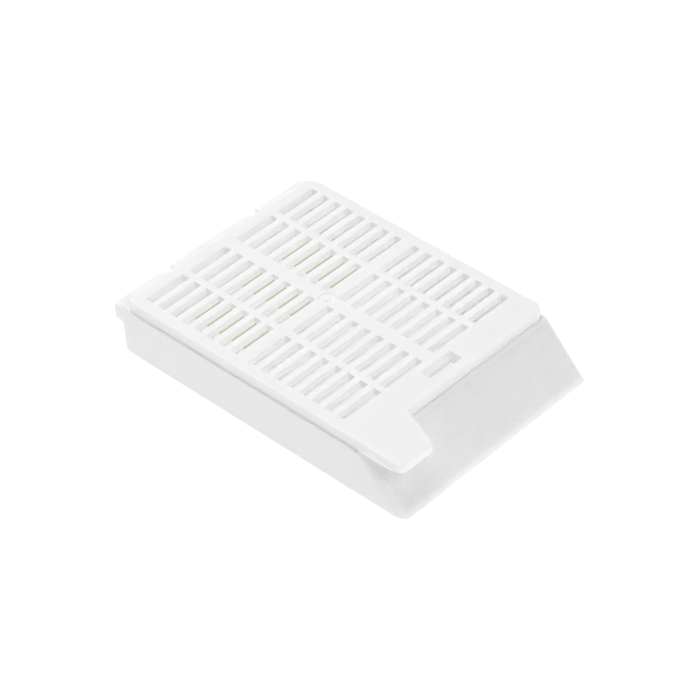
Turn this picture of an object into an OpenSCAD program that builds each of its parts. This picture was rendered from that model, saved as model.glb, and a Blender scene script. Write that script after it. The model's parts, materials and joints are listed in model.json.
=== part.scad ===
// Tissue cassette: a slotted base with a sloped writing face and a slotted
// lid that hinges on two bars at the rear and snaps shut at the front.
// X is the width, the writing face looks towards -Y, Z is up.

/* [Base] */
// Outer width of the base
base_w = 28.5; // [27:0.1:34]
// Outer length, from the foot of the writing face to the rear flange
base_l = 40.5; // [39:0.1:48]
// Height of the base rim
base_h = 5.64; // [5.4:0.02:9]
// Thickness of the side walls
side_t = 1; // [0.8:0.05:1.4]
// Thickness of the wall between the tray and the writing face
front_t = 0.95; // [0.8:0.05:1.2]
// Thickness of the rear wall at the rim
rear_t = 1.05; // [0.9:0.05:1.4]
// Thickness of the slotted floor
floor_t = 0.6; // [0.5:0.05:1.2]
// Draft of the rear wall, measured at the foot
rear_draft = 0.25; // [0:0.05:0.4]
// Radius along the rear edge of the foot
foot_r = 0.45; // [0.2:0.05:0.8]
// Height of the fine step below the rim
step_h = 0.2; // [0.1:0.05:0.4]
// Width of the fine step below the rim
step_w = 0.1; // [0.05:0.01:0.2]

/* [Writing face] */
// Horizontal run of the writing face
face_run = 5.61; // [5:0.01:8]
// Thickness of the writing panel
face_t = 1; // [0.8:0.05:1.3]
// Land between the writing face and the tray
face_land = 1.35; // [1.2:0.05:2]
// Radius along the left edge of the writing face
face_left_r = 0.93; // [0.3:0.01:1]
// Radius along the right edge of the writing face
face_right_r = 0.28; // [0.1:0.01:1]
// Width of the fine bead beside the rounded left edge
bead_w = 0.16; // [0.1:0.01:0.3]
// How far the bead stands proud of the writing face
bead_h = 0.06; // [0.03:0.01:0.1]
// Distance from the bead's lower end to the foot, along the slope
bead_foot = 0.5; // [0.3:0.05:1]

/* [Rear flange] */
// How far the flange stands out from the rear wall
flange_out = 1.31; // [0.9:0.01:1.8]
// Thickness of the flange
flange_t = 2.05; // [1.8:0.05:2.4]
// Radius along the upper rear edge of the flange
flange_r = 0.2; // [0.1:0.05:0.6]
// How far the middle of the flange stands proud of its ends
flange_proud = 0.06; // [0.02:0.01:0.3]
// Radius of the flange's two outer corners
flange_end_r = 0.35; // [0.2:0.05:1]
// Distance from the centre to each hinge notch
hinge_x = 6.43; // [4:0.05:10]
// Width of each hinge notch
notch_w = 1.15; // [1:0.05:2]

/* [Lid] */
// Thickness of the lid at its border
lid_t = 1.23; // [1.1:0.01:1.8]
// Thickness of the lid between the slots
web_t = 0.82; // [0.5:0.01:0.95]
// Air between the closed lid and the rim
seat_gap = 0.03; // [0.02:0.01:0.05]
// How far the lid's sides lie inside the base's sides
lid_inset = 0.13; // [0.05:0.01:0.3]
// Distance from the lid's rear edge to the flange's rear face
lid_rear_set = 1.85; // [1.6:0.05:2.4]
// Distance from the top of the writing face to the lid's front edge
lid_front_set = 0.06; // [0.04:0.01:0.4]
// Radius of the lid's corners
lid_corner_r = 1.3; // [0.5:0.1:2]
// Height of the locating ribs under the lid
rib_h = 0.5; // [0.3:0.05:0.8]
// Thickness of the locating ribs
rib_t = 0.45; // [0.35:0.05:0.6]
// Air between a locating rib and the base's side wall
rib_gap = 0.18; // [0.1:0.01:0.3]

/* [Slots] */
// Width of a slot
slot_w = 0.88; // [0.6:0.02:1.1]
// Distance from one slot to the next
slot_pitch = 1.731; // [1.5:0.001:2.2]
// Most slots in one group
slots_per_group = 8; // [4:1:8]
// Extra web between the front and rear groups
group_gap = 0.8; // [0.4:0.05:1.6]
// Web between neighbouring rows
row_web = 0.93; // [0.6:0.01:1.4]
// Web along the centre line
centre_web = 1.75; // [1.2:0.05:2.6]
// Web between the outer rows and the tray's side walls
side_web = 0.65; // [0.6:0.05:1.2]
// Web between the lid's rear edge and the first slot
rear_web = 1.56; // [1.3:0.02:2.2]

/* [Gate mark] */
// Radius of the round gate recess in the lid
gate_r = 0.95; // [0.5:0.05:1.1]
// Depth of the gate recess
gate_d = 0.15; // [0.05:0.01:0.3]
// Radius of the gate stub inside the recess
stub_r = 0.36; // [0.2:0.02:0.45]

/* [Thumb tab] */
// Reach of the tab in front of the lid
tab_reach = 5.04; // [3:0.02:5.4]
// Width of the tab where it leaves the lid
tab_root_w = 6.75; // [5:0.05:9]
// Width of the tab at its tip
tab_tip_w = 4.8; // [3:0.05:5]
// Radius of the tab's outer corner
tab_left_r = 1.05; // [0.3:0.05:1.3]
// Radius of the tab's inner corner
tab_right_r = 0.6; // [0.3:0.05:1.3]

/* [Hinge] */
// Radius of each hinge bar
bar_r = 0.35; // [0.3:0.01:0.4]
// Radial clearance between a bar and its hook
bar_gap = 0.05; // [0.03:0.01:0.1]
// Thickness of a hook around its bar
hook_t = 0.48; // [0.4:0.01:0.5]
// Air on each side of a hook in its notch
hook_gap = 0.2; // [0.12:0.01:0.3]
// Distance of the bars behind the lid's rear edge
bar_back = 1; // [0.9:0.01:1.1]
// Depth of the bars below the rim
bar_drop = 0.56; // [0.5:0.01:0.6]

/* [Latch] */
// Width of the latch window
window_w = 4.45; // [3:0.05:8]
// Length of the latch window
window_l = 1.57; // [1.4:0.01:1.8]
// Border between the window and the lid's front edge
window_web = 1.21; // [1:0.01:1.4]
// Thickness of the latch tongue
tongue_t = 0.75; // [0.6:0.05:0.8]
// Length of the latch tongue below the lid
tongue_drop = 2.35; // [2.1:0.05:3]
// Gap between the tongue and the keeper
keeper_gap = 0.24; // [0.15:0.01:0.3]
// Thickness of the keeper
keeper_t = 0.85; // [0.7:0.05:1]
// How much wider the keeper is than the window
keeper_over = 0.7; // [0.4:0.1:1.2]
// Hold of the barb under the keeper
barb_hold = 0.18; // [0.1:0.01:0.2]
// Air between the barb and the keeper's underside
barb_gap = 0.12; // [0.08:0.01:0.2]
// Height of the barb's upright tip
barb_tip = 0.3; // [0.2:0.05:0.4]

/* [Hidden] */
$fn = 48;
eps = 0.01;
big = 60;

// Planes along the length
y_foot = -base_l/2;
y_tail = base_l/2;
y_face = y_foot + face_run;
y_tray_front = y_face + face_land;
y_wall = y_tail - flange_proud - flange_out;
y_tray_rear = y_wall - rear_t;
z_flange = base_h - flange_t;

// The writing face falls along this slope
face_len = norm([face_run, base_h]);
face_angle = atan2(base_h, face_run);

// Lid outline
lid_w = base_w - 2*lid_inset;
y_lid_front = y_face + lid_front_set;
y_lid_rear = y_tail - lid_rear_set;
z_lid = base_h + seat_gap;
z_top = z_lid + lid_t;

// Latch, measured back from the lid's front edge
y_window = y_lid_front + window_web;
y_tongue = y_window + window_l;
y_tongue_rear = y_tongue + tongue_t;
y_keeper = y_tongue - keeper_gap;
y_barb = y_keeper - barb_hold;
z_keeper = base_h - keeper_t;
z_barb = z_keeper - barb_gap;
z_tongue = z_lid - tongue_drop;

// Slot field, shared by the lid and the floor
field_w = base_w - 2*side_t - 2*side_web;
slot_l = (field_w - centre_web - 2*row_web)/4;
row_in = centre_web/2 + slot_l/2;
row_out = row_in + slot_l + row_web;
field_rear = y_lid_rear - rear_web;
field_len = field_rear - y_tongue_rear - 0.15;
group_fit = floor((field_len - group_gap + slot_pitch - slot_w)/slot_pitch/2);
group_n = min(slots_per_group, group_fit);
y_group = [0, group_n*slot_pitch + group_gap];
y_first = field_rear - slot_w/2;
y_last = y_first - y_group[1] - (group_n - 1)*slot_pitch;
y_gate = (y_first + y_last)/2;

// Hinge bars
y_bar = y_lid_rear + bar_back;
z_bar = base_h - bar_drop;
hook_in = bar_r + bar_gap;
hook_out = hook_in + hook_t;
hook_w = notch_w - 2*hook_gap;

// One corner of a rounded outline: start, centre and end of its arc
function unit(v) = v/norm(v);
function arc_set(p, a, b, r) =
    let (u = unit(a - p), w = unit(b - p))
    let (half = acos(u*w)/2, d = r/tan(half), m = unit(u + w))
    [p + u*d, p + m*r/sin(half), p + w*d];
function wrap(pts, i) = pts[(i + len(pts)) % len(pts)];

// Convex outline with a true arc of its own radius at each corner that has one
module round_outline(pts, radii) {
    sets = [for (i = [0 : len(pts) - 1])
        arc_set(pts[i], wrap(pts, i - 1), wrap(pts, i + 1), radii[i])];
    polygon([for (i = [0 : len(pts) - 1])
        each radii[i] > 0 ? [sets[i][0], sets[i][2]] : [pts[i]]]);
    for (i = [0 : len(pts) - 1])
        if (radii[i] > 0) translate(sets[i][1]) circle(r = radii[i]);
}

// A profile drawn in Y and Z, run across the width
module across(w, x = 0) {
    translate([x - w/2, 0, 0]) rotate([90, 0, 90]) linear_extrude(w) children();
}

// Every slot of the field, cut from z0 to z1
module slots(z0, z1) {
    for (g = y_group, k = [0 : group_n - 1], x = [-row_out, -row_in, row_in, row_out])
        translate([x - slot_l/2, y_first - g - k*slot_pitch - slot_w/2, z0])
            cube([slot_l, slot_w, z1 - z0]);
}

// Side profile of the base from the foot of the face to the rear wall
module body_profile() {
    round_outline(
        [[y_foot, 0], [y_wall - rear_draft, 0], [y_wall, z_flange],
         [y_wall, base_h], [y_face, base_h]],
        [0, foot_r, 0, 0, 0]);
}

// Rounds the two long edges of the writing face
module face_rounding() {
    translate([0, y_foot, 0]) rotate([face_angle - 90, 0, 0])
        translate([0, 0, -big]) linear_extrude(2*big)
            round_outline(
                [[-base_w/2, 0], [base_w/2, 0], [base_w/2, big], [-base_w/2, big]],
                [face_left_r, face_right_r, 0, 0]);
}

module body() {
    intersection() {
        across(base_w) body_profile();
        face_rounding();
    }
}

// Fine bead down the left side of the writing face
module face_bead() {
    translate([-base_w/2 + face_left_r, y_foot, 0]) rotate([face_angle, 0, 0])
        translate([-bead_w/2, bead_foot, -face_t/2])
            cube([bead_w, face_len - bead_foot - face_t, face_t/2 + bead_h]);
}

// Flange profile with its rounded upper rear edge, out to y_out
module flange_profile(y_out) {
    translate([y_wall - rear_t/2, z_flange])
        square([y_out - y_wall + rear_t/2, flange_t - flange_r]);
    translate([y_wall - rear_t/2, z_flange])
        square([y_out - y_wall + rear_t/2 - flange_r, flange_t]);
    translate([y_out - flange_r, base_h - flange_r]) circle(r = flange_r);
}

// Plan of the flange, with its two outer corners rounded
module flange_plan() {
    y_out = y_tail - flange_proud;
    round_outline(
        [[-base_w/2, y_wall - rear_t], [base_w/2, y_wall - rear_t],
         [base_w/2, y_out], [-base_w/2, y_out]],
        [0, 0, flange_end_r, flange_end_r]);
}

module flange() {
    intersection() {
        across(base_w) flange_profile(y_tail - flange_proud);
        translate([0, 0, z_flange - 1]) linear_extrude(flange_t + 2) flange_plan();
    }
    across(2*hinge_x) flange_profile(y_tail);
}

// Tray above the floor
module tray() {
    translate([-base_w/2 + side_t, y_tray_front, floor_t])
        cube([base_w - 2*side_t, y_tray_rear - y_tray_front, base_h]);
}

// Hollow under the writing panel, open at the foot
module face_hollow() {
    drop = face_t/cos(face_angle);
    y_back = y_tray_front - front_t;
    y_low = y_foot + face_t/sin(face_angle);
    z_high = (y_back - y_foot)*tan(face_angle) - drop;
    z_cap = base_h - face_t;
    across(base_w - 2*side_t)
        if (z_high > z_cap)
            polygon([
                [y_low, -eps], [y_back, -eps], [y_back, z_cap],
                [y_foot + (z_cap + drop)/tan(face_angle), z_cap]]);
        else
            polygon([[y_low, -eps], [y_back, -eps], [y_back, z_high]]);
}

// Fine step that runs along both sides just below the rim
module rim_step() {
    for (s = [-1, 1])
        translate([s*base_w/2 - step_w, y_face - 1, base_h - step_h])
            cube([2*step_w, y_wall - y_face + 1, 2*step_h]);
}

// Hinge notches through the flange and the top of the rear wall
module notches() {
    for (s = [-1, 1])
        translate([s*hinge_x - notch_w/2, y_tray_rear - 1, z_flange])
            cube([notch_w, big, big]);
}

// Ledge inside the front wall that the latch barb hooks under
module keeper() {
    translate([-(window_w + keeper_over)/2, y_tray_front - front_t/2, z_keeper])
        cube([window_w + keeper_over, y_keeper - y_tray_front + front_t/2, keeper_t]);
}

module hinge_bars() {
    for (s = [-1, 1])
        translate([s*hinge_x - notch_w/2 - eps, y_bar, z_bar])
            rotate([0, 90, 0]) cylinder(r = bar_r, h = notch_w + 2*eps);
}

module base() {
    color("white") {
        difference() {
            union() {
                body();
                face_bead();
                flange();
            }
            tray();
            face_hollow();
            slots(-eps, floor_t + eps);
            rim_step();
            notches();
        }
        keeper();
        hinge_bars();
    }
}

// Lid plate with its rounded corners
module lid_plan() {
    round_outline(
        [[-lid_w/2, y_lid_front], [lid_w/2, y_lid_front],
         [lid_w/2, y_lid_rear], [-lid_w/2, y_lid_rear]],
        [0, lid_corner_r, lid_corner_r, lid_corner_r]);
}

// Thumb tab that runs on from the lid's left side
module tab_plan() {
    y_tip = y_lid_front - tab_reach;
    y_root = y_lid_front + 1;
    lean = (tab_root_w - tab_tip_w)/tab_reach;
    x0 = -lid_w/2;
    round_outline(
        [[x0, y_tip], [x0 + tab_tip_w, y_tip],
         [x0 + tab_root_w, y_lid_front], [x0 + tab_root_w, y_root], [x0, y_root]],
        [tab_left_r, tab_right_r, 0, 0, 0]);
}

// Thinner slotted field seen from below
module lid_recess() {
    x = field_w/2 + 0.2;
    y0 = y_last - slot_w/2 - 0.1;
    y1 = field_rear + 0.2;
    translate([-x, y0, z_lid - eps]) cube([2*x, y1 - y0, lid_t - web_t + eps]);
}

module latch_window() {
    translate([-window_w/2, y_window, z_lid - 1]) cube([window_w, window_l, lid_t + 2]);
}

// Springy tongue behind the window with its barb under the keeper
module latch_tongue() {
    across(window_w)
        polygon([
            [y_tongue, z_top - web_t], [y_tongue_rear, z_top - web_t],
            [y_tongue_rear, z_tongue], [y_tongue, z_tongue],
            [y_barb, z_barb - barb_tip], [y_barb, z_barb], [y_tongue, z_barb]]);
}

// Low ribs that keep the closed lid between the side walls
module locating_ribs() {
    x = base_w/2 - side_t - rib_gap - rib_t;
    for (s = [-1, 1])
        translate([s*(x + rib_t/2) - rib_t/2, y_last, z_lid - rib_h])
            cube([rib_t, y_first - y_last, rib_h + lid_t - web_t]);
}

// Hook that wraps round a hinge bar from the front and below
module hook(x) {
    mouth = [-45, 0, 45, 90, 140];
    across(hook_w, x) difference() {
        union() {
            translate([y_bar, z_bar]) circle(r = hook_out);
            polygon([
                [y_lid_rear - hook_t, z_lid + eps], [y_lid_rear, z_lid + eps],
                [y_bar, z_bar], [y_bar - hook_out + 0.05, z_bar]]);
        }
        translate([y_bar, z_bar]) circle(r = hook_in);
        translate([y_bar, z_bar])
            polygon([[0, 0], for (a = mouth) 2*hook_out*[cos(a), sin(a)]]);
    }
}

// Round recess with the stub of the moulding gate
module gate_mark() {
    translate([0, y_gate, z_top - gate_d]) difference() {
        cylinder(r = gate_r, h = 1);
        translate([0, 0, -eps]) cylinder(r = stub_r, h = gate_d*0.7 + eps);
    }
}

module lid() {
    color("white") {
        difference() {
            translate([0, 0, z_lid]) linear_extrude(lid_t) {
                lid_plan();
                tab_plan();
            }
            lid_recess();
            slots(z_lid - 1, z_top + 1);
            latch_window();
            gate_mark();
        }
        latch_tongue();
        locating_ribs();
        for (s = [-1, 1]) hook(s*hinge_x);
    }
}

base();
lid();
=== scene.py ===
"""Tissue cassette: finishes the moulded base and lid and sets them on a pale table."""

import json
import math

import bmesh
import bpy
from bpy.props import (
    FloatProperty,
    FloatVectorProperty,
    IntProperty,
    PointerProperty,
)
from bpy.types import Operator, Panel, PropertyGroup
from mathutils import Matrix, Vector


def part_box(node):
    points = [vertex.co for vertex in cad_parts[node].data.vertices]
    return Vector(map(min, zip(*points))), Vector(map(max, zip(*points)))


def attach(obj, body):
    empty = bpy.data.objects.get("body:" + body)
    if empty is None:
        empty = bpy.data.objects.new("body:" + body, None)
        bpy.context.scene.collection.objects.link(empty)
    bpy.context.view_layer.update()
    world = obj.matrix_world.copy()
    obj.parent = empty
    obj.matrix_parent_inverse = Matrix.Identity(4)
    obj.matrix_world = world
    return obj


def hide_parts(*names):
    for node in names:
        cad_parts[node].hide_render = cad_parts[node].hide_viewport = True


bl_info = {
    "name": "Tissue Cassette",
    "version": (1, 0, 0),
    "blender": (4, 5, 0),
    "location": "View3D > Sidebar > Cassette",
    "description": "Finishes the moulded base and lid of a tissue cassette",
    "category": "Object",
}

MM = 0.001
HAIR = 0.01 * MM  # heights this near each other count as one
WELD = 0.002 * MM  # doubled points this near each other are joined
SHARP_EDGE = math.radians(35)  # edges sharper than this are rounded
BLEND_ANGLE = math.radians(50)  # faces within this angle shade as one
OUTLINE_BAND = 0.5 * MM  # width of the border that holds the lid's outline
REAR_WALL = 0.5 * MM  # the base's rear wall ends this far behind the lid's plate
TAB_START = 0.2 * MM  # the thumb tab's edges begin this far in front of the lid's plate
PLATE_BAND = 0.3 * MM  # depth below the lid's top where its underside's edges begin
SIDE_BAND = 1.0 * MM  # width of the rim along the sides and the rear
BEAD_REACH = 0.12 * MM  # edges this near the bead's line belong to it
BEAD_HALF = 0.1 * MM  # half the width of the bead
PEBBLE_FADE = 0.1 * MM  # width over which the pebbles fade out
SENSOR = 36.0  # width of the camera's sensor, in millimetres
BOUNCES = 24  # turns that light may take inside the white plastic
TABLE_WHITE = 0.86  # share of the light that the table gives back
COVERED_WHITE = 0.02  # the same for the table seen through the slots, kept dark under its painted shadow
TABLE_REACH = 1.5  # half the width of the table
NUMBER = "NodeSocketFloat"
COLOUR = "NodeSocketColor"

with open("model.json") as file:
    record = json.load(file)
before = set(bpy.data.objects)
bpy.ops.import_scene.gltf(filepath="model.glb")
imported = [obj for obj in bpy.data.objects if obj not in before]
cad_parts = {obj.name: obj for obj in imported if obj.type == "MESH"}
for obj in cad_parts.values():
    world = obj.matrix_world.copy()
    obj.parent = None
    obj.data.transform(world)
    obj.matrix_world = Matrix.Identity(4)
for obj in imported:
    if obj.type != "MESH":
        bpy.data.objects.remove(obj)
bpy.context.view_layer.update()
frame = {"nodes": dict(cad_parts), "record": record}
BASE_LOW, BASE_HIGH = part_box("base")
LID_LOW, LID_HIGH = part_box("lid")


def lid_body():
    """Front and rear of the lid's plate, without its thumb tab and hinge hooks."""
    top = LID_HIGH.z - HAIR
    flat = [v.co for v in frame["nodes"]["lid"].data.vertices if v.co.z > top]
    return min(p.y for p in flat if p.x > 0), max(p.y for p in flat)


LID_BODY_FRONT, LID_BODY_REAR = lid_body()


class CassetteMould(PropertyGroup):
    """Sizes of the moulded edges and surfaces."""

    lid_radius: FloatProperty(
        name="Lid edge radius",
        description="Rounding along the upper outline of the lid",
        default=0.18 * MM,
        subtype="DISTANCE",
        unit="LENGTH",
        precision=5,
    )
    edge_radius: FloatProperty(
        name="Edge radius",
        description="Rounding of the slots and the other moulded edges",
        default=0.09 * MM,
        subtype="DISTANCE",
        unit="LENGTH",
        precision=5,
    )
    rim_radius: FloatProperty(
        name="Rim radius",
        description="Rounding of the base's rim and of the fine step below it",
        default=0.05 * MM,
        subtype="DISTANCE",
        unit="LENGTH",
        precision=5,
    )
    fine_radius: FloatProperty(
        name="Fine radius",
        description="Rounding of the foot, the bead, the hooks and the latch",
        default=0.03 * MM,
        subtype="DISTANCE",
        unit="LENGTH",
        precision=5,
    )
    edge_steps: IntProperty(
        name="Edge steps",
        description="Faces across each rounded edge",
        default=2,
        min=1,
        max=6,
        subtype="UNSIGNED",
    )
    seat_gap: FloatProperty(
        name="Seat gap",
        description="Air between the closed lid and the rim",
        default=0.006 * MM,
        subtype="DISTANCE",
        unit="LENGTH",
        precision=6,
    )
    rim_band: FloatProperty(
        name="Rim band",
        description="Height below the rim whose edges take the rim radius",
        default=0.25 * MM,
        subtype="DISTANCE",
        unit="LENGTH",
        precision=5,
    )
    bead_place: FloatProperty(
        name="Bead place",
        description="Distance of the fine bead from the left side of the writing face",
        default=0.93 * MM,
        subtype="DISTANCE",
        unit="LENGTH",
        precision=5,
    )
    pebble_size: FloatProperty(
        name="Pebble size",
        description="Width of one pebble of the writing face's texture",
        default=0.16 * MM,
        subtype="DISTANCE",
        unit="LENGTH",
        precision=5,
    )
    pebble_depth: FloatProperty(
        name="Pebble depth",
        description="Height of the writing face's texture",
        default=0.08 * MM,
        subtype="DISTANCE",
        unit="LENGTH",
        precision=6,
    )
    # Painted shade: how much the writing face's colour is darkened in the pebbles' hollows.
    pebble_shading: FloatProperty(
        name="Pebble shading",
        description="Share of the light lost in the hollows of the writing face's texture",
        default=0.004,
        min=0.0,
        max=0.5,
        subtype="FACTOR",
    )
    pebble_foot: FloatProperty(
        name="Pebble foot",
        description="Height of the smooth band below the writing face's texture",
        default=0.4 * MM,
        subtype="DISTANCE",
        unit="LENGTH",
        precision=5,
    )


class CassetteColours(PropertyGroup):
    """Colour and translucency of the plastic, colours of the table, and the painted shadow seen
    through the slots.
    """

    white: FloatVectorProperty(
        name="White",
        description="Colour of the plastic",
        default=(0.985, 0.984, 0.979),
        subtype="COLOR",
        size=3,
        min=0.0,
        max=1.0,
    )
    bleed: FloatProperty(
        name="Light bleed",
        description="How far light travels inside the plastic",
        default=0.4 * MM,
        subtype="DISTANCE",
        unit="LENGTH",
        precision=5,
    )
    base_roughness: FloatProperty(
        name="Base roughness",
        description="Roughness of the base moulding",
        default=0.46,
        min=0.0,
        max=1.0,
        subtype="FACTOR",
    )
    lid_roughness: FloatProperty(
        name="Lid roughness",
        description="Roughness of the lid moulding",
        default=0.42,
        min=0.0,
        max=1.0,
        subtype="FACTOR",
    )
    pebble_roughness: FloatProperty(
        name="Pebble roughness",
        description="Roughness of the pebbles of the writing face",
        default=0.2,
        min=0.0,
        max=1.0,
        subtype="FACTOR",
    )
    table_surface: FloatVectorProperty(
        name="Table surface",
        description="Colour of the table in the light",
        default=(0.5, 0.5, 0.5),
        subtype="COLOR",
        size=3,
        min=0.0,
        max=1.0,
    )
    table_tint: FloatVectorProperty(
        name="Table tint",
        description="Colour that the table glows with in the light",
        default=(0.74, 0.74, 0.74),
        subtype="COLOR",
        size=3,
        min=0.0,
        max=1.0,
    )
    # Painted shadow: the tan glow that the table shows through the slots, in place of the real
    # shade under the cassette.
    slot_painted_shadow: FloatVectorProperty(
        name="Slot painted shadow",
        description="Colour of the table seen through the slots",
        default=(0.57, 0.52, 0.39),
        subtype="COLOR",
        size=3,
        min=0.0,
        max=1.0,
    )


class CassetteStudio(PropertyGroup):
    """Camera, table and lamps."""

    azimuth: FloatProperty(
        name="Azimuth",
        description="Direction that the camera looks from, round the cassette",
        default=math.radians(-47.8598),
        subtype="ANGLE",
        unit="ROTATION",
    )
    elevation: FloatProperty(
        name="Elevation",
        description="Height of the camera above the horizon",
        default=math.radians(40.7212),
        subtype="ANGLE",
        unit="ROTATION",
    )
    distance: FloatProperty(
        name="Distance",
        description="Distance from the camera to its aim",
        default=300.846 * MM,
        subtype="DISTANCE",
        unit="LENGTH",
    )
    aim: FloatVectorProperty(
        name="Aim",
        description="Point that the camera looks at",
        default=(-1.1341 * MM, -1.1786 * MM, 3.0 * MM),
        subtype="TRANSLATION",
        unit="LENGTH",
        size=3,
        precision=5,
    )
    focal: FloatProperty(
        name="Focal length",
        description="Focal length of the lens on a 36 mm sensor, in millimetres",
        default=149.75,
        subtype="DISTANCE_CAMERA",
        unit="CAMERA",
    )
    room: FloatProperty(
        name="Room light",
        description="Strength of the even light from all round",
        default=0.28,
        min=0.0,
        subtype="UNSIGNED",
    )
    table_glow: FloatProperty(
        name="Table glow",
        description="Strength of the light that the table gives from below",
        default=0.43,
        min=0.0,
        subtype="UNSIGNED",
    )
    wall_band: FloatProperty(
        name="Wall band",
        description="Width of the strip of table that the base's walls stand on",
        default=1.2 * MM,
        subtype="DISTANCE",
        unit="LENGTH",
        precision=5,
    )
    covered_glow: FloatProperty(
        name="Covered glow",
        description="Share of the table's glow that is left under the base",
        default=0.45,
        min=0.0,
        max=1.0,
        subtype="FACTOR",
    )
    box_size: FloatProperty(
        name="Soft box size",
        description="Width of each square soft box",
        default=0.35,
        subtype="DISTANCE",
        unit="LENGTH",
    )
    box_reach: FloatProperty(
        name="Soft box reach",
        description="Distance of each soft box from the cassette",
        default=0.7,
        subtype="DISTANCE",
        unit="LENGTH",
    )
    high_rear: FloatProperty(
        name="High rear box",
        description="Power of the soft box high behind the cassette",
        default=1.47,
        unit="POWER",
    )
    low_rear: FloatProperty(
        name="Low rear box",
        description="Power of the soft box low behind the cassette",
        default=1.21,
        unit="POWER",
    )
    overhead: FloatProperty(
        name="Overhead box",
        description="Power of the soft box straight above the cassette",
        default=0.53,
        unit="POWER",
    )
    front: FloatProperty(
        name="Front box",
        description="Power of the soft box in front",
        default=1.50,
        unit="POWER",
    )


def settings():
    return bpy.context.scene.cassette


class CassetteSettings(PropertyGroup):
    """Everything that a user would change."""

    mould: PointerProperty(type=CassetteMould)
    colours: PointerProperty(type=CassetteColours)
    studio: PointerProperty(type=CassetteStudio)


def link(tree, source, target):
    tree.links.new(source, target)


def add(tree, kind, **values):
    """Adds a shader node and sets its properties."""
    node = tree.nodes.new(kind)
    for name, value in values.items():
        setattr(node, name, value)
    return node


def maths(tree, operation, *values, clamp=False):
    """Output of a Math node that works on these sockets and plain numbers."""
    node = add(tree, "ShaderNodeMath", operation=operation, use_clamp=clamp)
    for socket, value in zip(node.inputs, values):
        if isinstance(value, (int, float)):
            socket.default_value = value
        else:
            link(tree, value, socket)
    return node.outputs[0]


def product(tree, factors):
    """Output of all these factors multiplied together."""
    total = factors[0]
    for factor in factors[1:]:
        total = maths(tree, "MULTIPLY", total, factor)
    return total


def scaled(tree, colour, factor):
    """Output of a colour times a factor."""
    node = add(tree, "ShaderNodeVectorMath", operation="SCALE")
    link(tree, colour, node.inputs[0])
    link(tree, factor, node.inputs["Scale"])
    return node.outputs[0]


def noise(tree, place, scale, detail):
    """Output of a noise texture at that place."""
    node = add(tree, "ShaderNodeTexNoise")
    node.inputs["Scale"].default_value = scale
    node.inputs["Detail"].default_value = detail
    link(tree, place, node.inputs["Vector"])
    return node.outputs["Fac"]


def new_group(name, inputs, outputs):
    """An empty node group. Returns it, the sockets that it is given and those that it fills."""
    group = bpy.data.node_groups.new(name, "ShaderNodeTree")
    for label, kind, value in inputs:
        socket = group.interface.new_socket(label, in_out="INPUT", socket_type=kind)
        socket.default_value = value
    for label, kind in outputs:
        group.interface.new_socket(label, in_out="OUTPUT", socket_type=kind)
    given = add(group, "NodeGroupInput").outputs
    filled = add(group, "NodeGroupOutput").inputs
    return group, given, filled


def moulded_skin():
    """Node group: the faint mottle, sheen and ripple of a moulded surface."""
    name = "Moulded Skin"
    if name in bpy.data.node_groups:
        return bpy.data.node_groups[name]
    group, given, filled = new_group(
        name,
        (
            ("Colour", COLOUR, (0.9, 0.9, 0.9, 1.0)),
            ("Mottle", NUMBER, 0.015),
            ("Roughness", NUMBER, 0.4),
            ("Sheen Spread", NUMBER, 0.06),
            ("Ripple", NUMBER, 0.004 * MM),
        ),
        (("Colour", COLOUR), ("Roughness", NUMBER), ("Height", NUMBER)),
    )
    place = add(group, "ShaderNodeTexCoord").outputs["Object"]
    broad = maths(group, "SUBTRACT", noise(group, place, 140.0, 2.0), 0.5)
    fine = noise(group, place, 2200.0, 3.0)
    swing = maths(group, "MULTIPLY_ADD", broad, given["Mottle"], 1.0)
    rough = maths(group, "MULTIPLY_ADD", broad, given["Sheen Spread"], given["Roughness"])
    link(group, scaled(group, given["Colour"], swing), filled["Colour"])
    link(group, rough, filled["Roughness"])
    link(group, maths(group, "MULTIPLY", fine, given["Ripple"]), filled["Height"])
    return group


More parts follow.
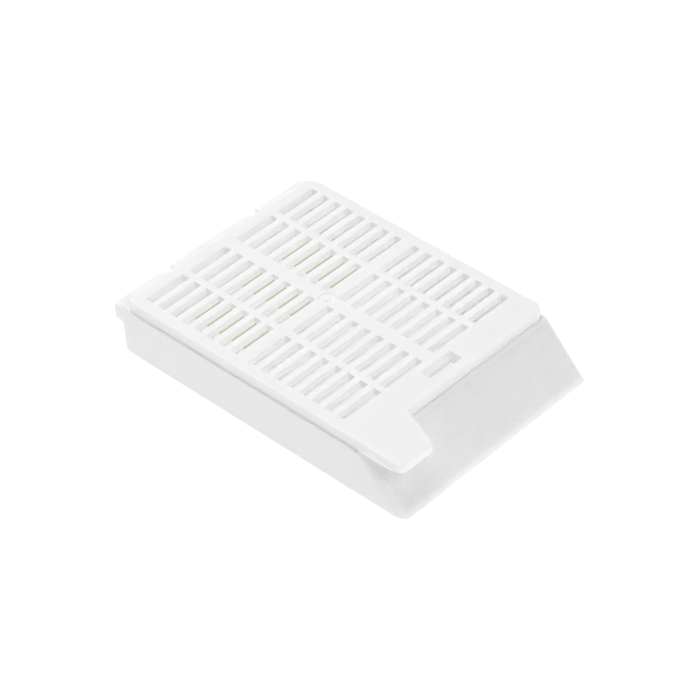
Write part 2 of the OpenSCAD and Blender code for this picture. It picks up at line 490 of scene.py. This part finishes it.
def pebbled_face():
    """Node group: the fine, glossier pebbles of the writing face, with painted shade in their
    hollows, faded out beyond its borders.
    """
    name = "Pebbled Face"
    if name in bpy.data.node_groups:
        return bpy.data.node_groups[name]
    group, given, filled = new_group(
        name,
        (
            ("Size", NUMBER, 0.16 * MM),
            ("Depth", NUMBER, 0.08 * MM),
            ("Left", NUMBER, 0.0),
            ("Right", NUMBER, 0.01),
            ("Foot", NUMBER, 0.0),
            ("Head", NUMBER, 0.005),
            ("Rear", NUMBER, 0.0),
            ("Shading", NUMBER, 0.004),
            ("Colour", COLOUR, (0.9, 0.9, 0.9, 1.0)),
            ("Roughness", NUMBER, 0.4),
            ("Polish", NUMBER, 0.2),
        ),
        (("Height", NUMBER), ("Colour", COLOUR), ("Roughness", NUMBER)),
    )
    place = add(group, "ShaderNodeTexCoord").outputs["Object"]
    axis = add(group, "ShaderNodeSeparateXYZ")
    link(group, place, axis.inputs[0])
    pebbles = add(group, "ShaderNodeTexVoronoi", feature="SMOOTH_F1")
    pebbles.inputs["Smoothness"].default_value = 0.6
    link(group, place, pebbles.inputs["Vector"])
    link(group, maths(group, "DIVIDE", 1.0, given["Size"]), pebbles.inputs["Scale"])
    patches = noise(group, place, 1900.0, 2.0)
    relief = maths(group, "MULTIPLY_ADD", pebbles.outputs["Distance"], -0.9, patches)
    borders = []
    for coordinate, border, sense in (
        ("X", "Left", 1.0),
        ("X", "Right", -1.0),
        ("Z", "Foot", 1.0),
        ("Z", "Head", -1.0),
        ("Y", "Rear", -1.0),
    ):
        inside = maths(group, "SUBTRACT", axis.outputs[coordinate], given[border])
        borders.append(maths(group, "MULTIPLY", inside, sense / PEBBLE_FADE, clamp=True))
    textured = product(group, borders)
    link(group, product(group, (relief, textured, given["Depth"])), filled["Height"])
    gloss = add(group, "ShaderNodeMix", data_type="FLOAT")
    link(group, textured, gloss.inputs["Factor"])
    link(group, given["Roughness"], gloss.inputs["A"])
    link(group, given["Polish"], gloss.inputs["B"])
    link(group, gloss.outputs["Result"], filled["Roughness"])
    # Painted shade: the colour is darkened where the pebbles' relief is low, in their hollows.
    hollow = add(group, "ShaderNodeMapRange")
    hollow.inputs["From Min"].default_value = -0.15
    hollow.inputs["From Max"].default_value = 0.35
    hollow.inputs["To Min"].default_value = 1.0
    hollow.inputs["To Max"].default_value = 0.0
    link(group, relief, hollow.inputs["Value"])
    painted_hollow_shade = product(group, (hollow.outputs["Result"], given["Shading"], textured))
    left = maths(group, "SUBTRACT", 1.0, painted_hollow_shade)
    link(group, scaled(group, given["Colour"], left), filled["Colour"])
    return group


def plastic(name, roughness):
    """White moulded plastic that light bleeds through. Returns it, its skin and its bump."""
    colours = settings().colours
    material = bpy.data.materials.new(name)
    material.use_nodes = True
    tree = material.node_tree
    shader = tree.nodes["Principled BSDF"]
    skin = add(tree, "ShaderNodeGroup", node_tree=moulded_skin())
    skin.inputs["Colour"].default_value = (*colours.white, 1.0)
    skin.inputs["Roughness"].default_value = roughness
    link(tree, skin.outputs["Colour"], shader.inputs["Base Color"])
    link(tree, skin.outputs["Roughness"], shader.inputs["Roughness"])
    bump = add(tree, "ShaderNodeBump")
    bump.inputs["Strength"].default_value = 1.0
    bump.inputs["Distance"].default_value = 1.0
    link(tree, skin.outputs["Height"], bump.inputs["Height"])
    link(tree, bump.outputs["Normal"], shader.inputs["Normal"])
    shader.inputs["IOR"].default_value = 1.48
    shader.inputs["Specular IOR Level"].default_value = 0.35
    shader.inputs["Subsurface Weight"].default_value = 1.0
    shader.inputs["Subsurface Radius"].default_value = (1.0, 1.0, 1.0)
    shader.inputs["Subsurface Scale"].default_value = colours.bleed
    return material, skin, bump


def flatten_shading(mesh):
    """Shades flat faces flat and blends only across the rounded edges between them."""
    around = {}
    for face in mesh.polygons:
        for corner in face.vertices:
            around.setdefault(corner, []).append(face)
    normals = []
    for face in mesh.polygons:
        for corner in face.vertices:
            total = Vector()
            for other in around[corner]:
                if other.normal.dot(face.normal) > math.cos(BLEND_ANGLE):
                    total += other.normal * other.area
            normals.append(total.normalized())
    mesh.shade_smooth()
    mesh.normals_split_custom_set(normals)


def softened(node, name, material, radius_at):
    """A copy of a packed moulding with its sharp edges rounded, which stands for it."""
    made = settings().mould
    widest = max(made.lid_radius, made.edge_radius, made.rim_radius, made.fine_radius)
    mesh = frame["nodes"][node].data.copy()
    mesh.name = name
    shape = bmesh.new()
    shape.from_mesh(mesh)
    bmesh.ops.remove_doubles(shape, verts=shape.verts, dist=WELD)
    share = shape.edges.layers.float.new("bevel_weight_edge")
    for edge in shape.edges:
        if edge.is_convex and edge.calc_face_angle() > SHARP_EDGE:
            edge[share] = radius_at(edge) / widest
    shape.to_mesh(mesh)
    shape.free()
    piece = bpy.data.objects.new(name, mesh)
    bpy.context.scene.collection.objects.link(piece)
    mesh.materials.clear()
    mesh.materials.append(material)
    bevel = piece.modifiers.new("Edges", "BEVEL")
    bevel.width = widest
    bevel.segments = made.edge_steps
    bevel.limit_method = "WEIGHT"
    bevel.use_clamp_overlap = False
    bevel.loop_slide = False
    piece.modifiers.new("Triangles", "TRIANGULATE")
    view = bpy.context.evaluated_depsgraph_get()
    final = bpy.data.meshes.new_from_object(piece.evaluated_get(view))
    piece.modifiers.clear()
    piece.data = final
    flatten_shading(final)
    bodies = frame["record"]["behaviour"]["bodies"]
    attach(piece, next(body for body, nodes in bodies.items() if node in nodes))
    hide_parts(node)
    return piece


def base_radius(edge):
    """Rounding of one edge of the base: fine along the rim, the bead and the foot."""
    made = settings().mould
    a, b = (v.co for v in edge.verts)
    near_rim = min(a.z, b.z) > BASE_HIGH.z - made.rim_band
    if near_rim and max(a.y, b.y) < LID_HIGH.y - SIDE_BAND:
        return made.rim_radius
    bead = BASE_LOW.x + made.bead_place
    on_bead = max(abs(a.x - bead), abs(b.x - bead)) < BEAD_REACH
    on_foot = max(a.z, b.z) < HAIR
    return made.fine_radius if on_bead or on_foot else made.edge_radius


def lid_radius(edge):
    """Rounding of one edge of the lid: full along its outline and the thumb tab, fine below."""
    made = settings().mould
    a, b = (v.co for v in edge.verts)
    top = LID_HIGH.z - HAIR
    if min(a.z, b.z) > top:
        on_outline = all(
            abs(p.x) > LID_HIGH.x - OUTLINE_BAND
            or p.y > LID_BODY_REAR - OUTLINE_BAND
            or p.y < LID_BODY_FRONT + OUTLINE_BAND
            for p in (a, b)
        )
        return made.lid_radius if on_outline else made.edge_radius
    if max(a.y, b.y) < LID_BODY_FRONT - TAB_START:
        return made.lid_radius
    if max(a.z, b.z) < top - PLATE_BAND:
        under_slots = max(abs(a.x), abs(b.x)) < LID_HIGH.x - SIDE_BAND
        return made.fine_radius / 3 if under_slots else 0.0
    return made.edge_radius


class CASSETTE_OT_base(Operator):
    """Finishes the base moulding"""

    bl_idname = "cassette.base"
    bl_label = "Base"

    def execute(self, context):
        made = settings().mould
        colours = settings().colours
        material, skin, bump = plastic("Base plastic", colours.base_roughness)
        tree = material.node_tree
        shader = tree.nodes["Principled BSDF"]
        pebble = add(tree, "ShaderNodeGroup", node_tree=pebbled_face())
        for name, value in (
            ("Size", made.pebble_size),
            ("Depth", made.pebble_depth),
            ("Left", BASE_LOW.x + made.bead_place - BEAD_HALF),
            ("Right", BASE_HIGH.x - made.bead_place / 3),
            ("Foot", made.pebble_foot),
            ("Head", BASE_HIGH.z - made.rim_band),
            ("Rear", LID_BODY_FRONT),
            ("Shading", made.pebble_shading),
            ("Polish", colours.pebble_roughness),
        ):
            pebble.inputs[name].default_value = value
        for name in ("Colour", "Roughness"):
            link(tree, skin.outputs[name], pebble.inputs[name])
        link(tree, pebble.outputs["Colour"], shader.inputs["Base Color"])
        link(tree, pebble.outputs["Roughness"], shader.inputs["Roughness"])
        height = maths(tree, "ADD", skin.outputs["Height"], pebble.outputs["Height"])
        link(tree, height, bump.inputs["Height"])
        softened("base", "base_moulding", material, base_radius)
        return {"FINISHED"}


class CASSETTE_OT_lid(Operator):
    """Finishes the lid moulding"""

    bl_idname = "cassette.lid"
    bl_label = "Lid"

    def execute(self, context):
        material = plastic("Lid plastic", settings().colours.lid_roughness)[0]
        lid = softened("lid", "lid_moulding", material, lid_radius)
        seat = BASE_HIGH.z + settings().mould.seat_gap
        side = LID_HIGH.x - 2 * HAIR
        land = min(v.co.z for v in lid.data.vertices if abs(v.co.x) > side)
        for vertex in lid.data.vertices:
            if abs(vertex.co.z - land) < HAIR / 10:
                vertex.co.z = seat
        return {"FINISHED"}


def toward(azimuth, elevation):
    """Direction from the cassette: azimuth from its front to its right, and elevation."""
    return Vector((
        math.sin(azimuth) * math.cos(elevation),
        -math.cos(azimuth) * math.cos(elevation),
        math.sin(elevation),
    ))


def soft_box(name, azimuth, elevation, power):
    """A square soft box that faces the cassette from that direction, in degrees."""
    studio = settings().studio
    light = bpy.data.lights.new(name, "AREA")
    light.shape = "SQUARE"
    light.size = studio.box_size
    light.energy = power
    box = bpy.data.objects.new(name, light)
    bpy.context.scene.collection.objects.link(box)
    out = toward(math.radians(azimuth), math.radians(elevation))
    box.location = out * studio.box_reach
    box.rotation_euler = out.to_track_quat("Z", "Y").to_euler()


def rectangle(tree, axis, low, high, margin):
    """Output that is 1 on the table inside these corners less the margin, and 0 outside them."""
    return product(tree, [
        maths(tree, operation, axis.outputs[name], limit)
        for name, operation, limit in (
            ("X", "GREATER_THAN", low.x + margin),
            ("X", "LESS_THAN", high.x - margin),
            ("Y", "GREATER_THAN", low.y + margin),
            ("Y", "LESS_THAN", high.y - margin),
        )
    ])


def mixed(tree, factor, first, second):
    """Output that is the first colour where the factor is 0 and the second where it is 1."""
    mix = add(tree, "ShaderNodeMix", data_type="RGBA")
    mix.inputs["A"].default_value = (*first, 1.0)
    mix.inputs["B"].default_value = (*second, 1.0)
    link(tree, factor, mix.inputs["Factor"])
    return mix.outputs["Result"]


def shown_to_camera(tree, output, unseen, seen):
    """Ends a tree in the second shader for the camera's own rays and the first for all others."""
    path = add(tree, "ShaderNodeLightPath")
    pick = add(tree, "ShaderNodeMixShader")
    link(tree, path.outputs["Is Camera Ray"], pick.inputs[0])
    link(tree, unseen.outputs[0], pick.inputs[1])
    link(tree, seen.outputs[0], pick.inputs[2])
    link(tree, pick.outputs[0], add(tree, output).inputs["Surface"])


def both(tree, first, second):
    """Two shaders added together."""
    total = add(tree, "ShaderNodeAddShader")
    link(tree, first.outputs[0], total.inputs[0])
    link(tree, second.outputs[0], total.inputs[1])
    return total


def table_paper():
    """White paper that glows; the strip under the cassette is darker, and seen from above it shows
    a painted tan shadow.
    """
    studio = settings().studio
    colours = settings().colours
    paper = bpy.data.materials.new("Table paper")
    paper.use_nodes = True
    tree = paper.node_tree
    tree.nodes.clear()
    axis = add(tree, "ShaderNodeSeparateXYZ")
    link(tree, add(tree, "ShaderNodeTexCoord").outputs["Object"], axis.inputs[0])
    rear = Vector((BASE_HIGH.x, LID_BODY_REAR + REAR_WALL, 0.0))
    footprint = rectangle(tree, axis, BASE_LOW, rear, 0.0)
    painted_shadow_area = rectangle(tree, axis, BASE_LOW, rear, studio.wall_band)

    white = add(tree, "ShaderNodeBsdfDiffuse")
    white.inputs["Color"].default_value = (TABLE_WHITE, TABLE_WHITE, TABLE_WHITE, 1.0)
    under = add(tree, "ShaderNodeEmission")
    glow = studio.table_glow
    dimmed = (studio.covered_glow - 1.0) * glow
    link(tree, maths(tree, "MULTIPLY_ADD", footprint, dimmed, glow), under.inputs["Strength"])

    # Painted shadow: seen from above, the table inside the walls is nearly black and glows tan
    # instead of lying in real shade.
    surface = add(tree, "ShaderNodeBsdfDiffuse")
    covered = (COVERED_WHITE, COVERED_WHITE, COVERED_WHITE)
    shade = mixed(tree, painted_shadow_area, colours.table_surface, covered)
    link(tree, shade, surface.inputs["Color"])
    tint = add(tree, "ShaderNodeEmission")
    colour = mixed(tree, painted_shadow_area, colours.table_tint, colours.slot_painted_shadow)
    link(tree, colour, tint.inputs["Color"])

    lit = both(tree, white, under)
    shown = both(tree, surface, tint)
    shown_to_camera(tree, "ShaderNodeOutputMaterial", lit, shown)
    return paper


def table():
    """The table's top, a hair below the cassette's foot."""
    mesh = bpy.data.meshes.new("table_top")
    corners = [(-1, -1, 0), (1, -1, 0), (1, 1, 0), (-1, 1, 0)]
    mesh.from_pydata([Vector(c) * TABLE_REACH for c in corners], [], [(0, 1, 2, 3)])
    top = bpy.data.objects.new("table_top", mesh)
    top.location.z = -HAIR
    bpy.context.scene.collection.objects.link(top)
    mesh.materials.append(table_paper())


def room():
    """Even light from all round; the camera sees plain white there."""
    world = bpy.data.worlds.new("Studio")
    world.use_nodes = True
    bpy.context.scene.world = world
    tree = world.node_tree
    tree.nodes.clear()
    light = add(tree, "ShaderNodeBackground")
    seen = add(tree, "ShaderNodeBackground")
    for node, strength in ((light, settings().studio.room), (seen, 1.0)):
        node.inputs["Color"].default_value = (1.0, 1.0, 1.0, 1.0)
        node.inputs["Strength"].default_value = strength
    shown_to_camera(tree, "ShaderNodeOutputWorld", light, seen)


def camera():
    """The camera, looking at its aim from its own direction and distance."""
    studio = settings().studio
    scene = bpy.context.scene
    eye = toward(studio.azimuth, studio.elevation)
    lens = bpy.data.cameras.new("Camera")
    lens.lens = studio.focal
    lens.sensor_width = SENSOR
    lens.clip_start, lens.clip_end = 0.01, 10.0
    body = bpy.data.objects.new("Camera", lens)
    scene.collection.objects.link(body)
    body.location = Vector(studio.aim) + eye * studio.distance
    body.rotation_mode = "QUATERNION"
    body.rotation_quaternion = (-eye).to_track_quat("-Z", "Y")
    scene.camera = body


class CASSETTE_OT_stage(Operator):
    """Sets the table, the lamps and the camera"""

    bl_idname = "cassette.stage"
    bl_label = "Table, lamps and camera"

    def execute(self, context):
        studio = settings().studio
        scene = context.scene
        scene.view_settings.view_transform = "Standard"
        scene.cycles.diffuse_bounces = BOUNCES
        scene.cycles.max_bounces = BOUNCES
        camera()
        table()
        room()
        for name, azimuth, elevation, power in (
            ("High rear box", 180, 60, studio.high_rear),
            ("Low rear box", 180, 35, studio.low_rear),
            ("Overhead box", 0, 89, studio.overhead),
            ("Front box", 0, 48, studio.front),
        ):
            soft_box(name, azimuth, elevation, power)
        return {"FINISHED"}


class CASSETTE_PT_sidebar(Panel):
    """Lists the cassette's pieces and settings"""

    bl_idname = "CASSETTE_PT_sidebar"
    bl_label = "Tissue Cassette"
    bl_space_type = "VIEW_3D"
    bl_region_type = "UI"
    bl_category = "Cassette"

    def draw(self, context):
        for group in (settings().mould, settings().colours, settings().studio):
            box = self.layout.box()
            for name in group.__annotations__:
                box.prop(group, name)
        for kind in OPERATORS:
            self.layout.operator(kind.bl_idname)


GROUPS = (CassetteMould, CassetteColours, CassetteStudio, CassetteSettings)
OPERATORS = (CASSETTE_OT_stage, CASSETTE_OT_base, CASSETTE_OT_lid)


def register():
    for kind in (*GROUPS, *OPERATORS, CASSETTE_PT_sidebar):
        bpy.utils.register_class(kind)
    bpy.types.Scene.cassette = PointerProperty(type=CassetteSettings)


def unregister():
    del bpy.types.Scene.cassette
    for kind in reversed((*GROUPS, *OPERATORS, CASSETTE_PT_sidebar)):
        bpy.utils.unregister_class(kind)


def main():
    register()
    bpy.ops.cassette.stage()
    bpy.ops.cassette.base()
    bpy.ops.cassette.lid()


if __name__ == "__main__":
    main()
